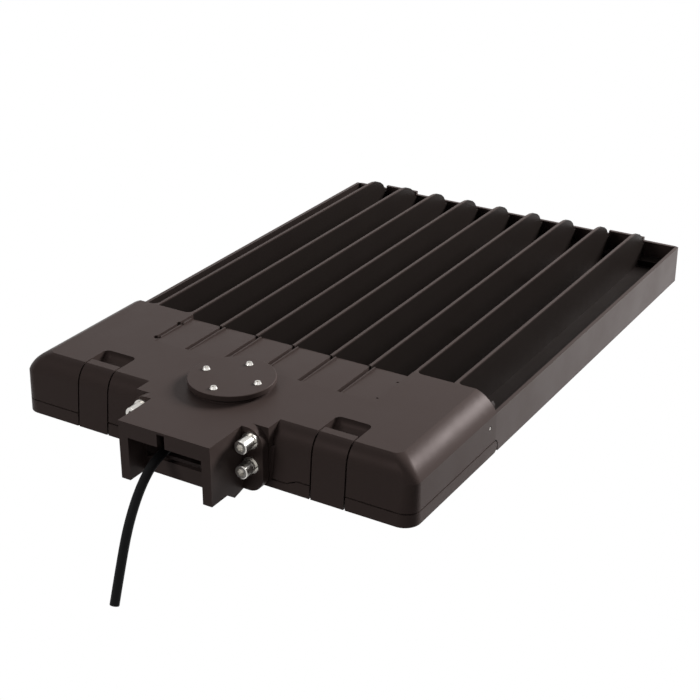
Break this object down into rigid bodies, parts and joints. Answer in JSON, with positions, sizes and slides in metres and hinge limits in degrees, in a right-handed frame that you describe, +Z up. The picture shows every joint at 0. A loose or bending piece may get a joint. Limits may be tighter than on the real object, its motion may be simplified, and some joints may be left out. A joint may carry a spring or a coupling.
{
  "type": "shoebox area light",
  "caption": "Flat rectangular outdoor area light with a finned heat sink, a latched drop-down driver door and a short arm bracket.",
  "frame": {"origin": "middle of the arm bracket's pole face", "axes": "+Y from the pole out along the light, +Z up, +X to the right looking along +Y"},
  "size_m": [0.33, 0.5822, 0.1217],
  "materials": {
    "bronze": "satin dark bronze powder coat on die-cast aluminium",
    "stainless": "bright stainless steel",
    "zinc": "zinc plated steel",
    "black_cord": "matt black cord jacket",
    "seal": "black silicone seal",
    "gland_plastic": "black nylon",
    "driver_case": "plain aluminium case",
    "white_plastic": "white nylon",
    "board": "white solder mask on an aluminium board",
    "led": "phosphor yellow",
    "lens": "clear moulded acrylic"
  },
  "bodies": {
    "light": {"driver_housing": "bronze", "heat_sink": "bronze", "receptacle_cap": "bronze", "cap_seal": "seal", "cap_screws": "stainless", "arm_bracket": "bronze", "arm_screws": "stainless", "flat_washers": "stainless", "lock_washers": "stainless", "cord_gland": "gland_plastic", "gland_locknut": "gland_plastic", "supply_cord": "black_cord", "led_driver": "driver_case", "driver_screws": "zinc", "surge_protector": "gland_plastic", "terminal_block": "white_plastic", "supply_leads": "black_cord", "wire_grommet": "seal", "joint_screws": "zinc", "side_screws": "stainless", "led_board_left": "board", "led_board_right": "board", "led_chips": "led", "lens_left": "lens", "lens_right": "lens", "lens_seal_left": "seal", "lens_seal_right": "seal", "lens_screws": "stainless"},
    "door": {"door": "bronze", "door_seal": "seal", "hinge_pins": "stainless", "latch_pin_left": "stainless", "latch_pin_right": "stainless"},
    "latch_left": {"latch_left": "bronze"},
    "latch_right": {"latch_right": "bronze"}
  },
  "joints": [
    {"name": "door_hinge", "type": "hinge", "parent": "light", "child": "door", "pos_m": [0, 0.1643, -0.0193], "axis": [1, 0, 0], "range_deg": [0, 85]},
    {"name": "latch_left_hinge", "type": "hinge", "parent": "door", "child": "latch_left", "pos_m": [-0.1, 0.0487, -0.02], "axis": [1, 0, 0], "range_deg": [0, 100]},
    {"name": "latch_right_hinge", "type": "hinge", "parent": "door", "child": "latch_right", "pos_m": [0.1, 0.0487, -0.02], "axis": [1, 0, 0], "range_deg": [0, 100]}
  ]
}
